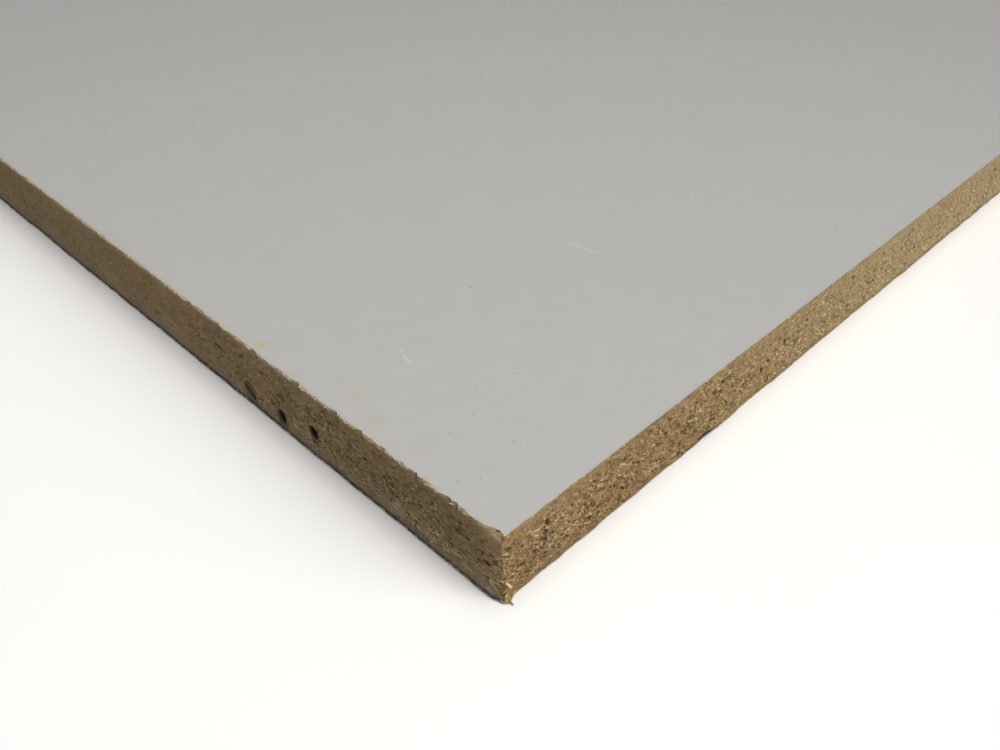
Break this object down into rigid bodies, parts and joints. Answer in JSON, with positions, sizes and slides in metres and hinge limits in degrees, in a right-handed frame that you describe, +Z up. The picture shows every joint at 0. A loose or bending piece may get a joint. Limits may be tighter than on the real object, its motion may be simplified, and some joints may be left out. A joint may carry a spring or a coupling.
{
  "type": "melamine-faced mdf board",
  "caption": "Flat rectangular fibreboard panel with a pale grey melamine face above and below, raw sawn edges, and small nail holes in one short edge.",
  "frame": {"origin": "centre of the underside, on the level floor that the board lies on", "axes": "+X along the length, +Y across the width, +Z up through the thickness"},
  "size_m": [1.22, 0.61, 0.018],
  "materials": {
    "raw_core": "matte",
    "melamine_facing": "satin"
  },
  "bodies": {
    "root": {"fibre_core": "raw_core", "top_facing": "melamine_facing", "bottom_facing": "melamine_facing"}
  },
  "joints": []
}
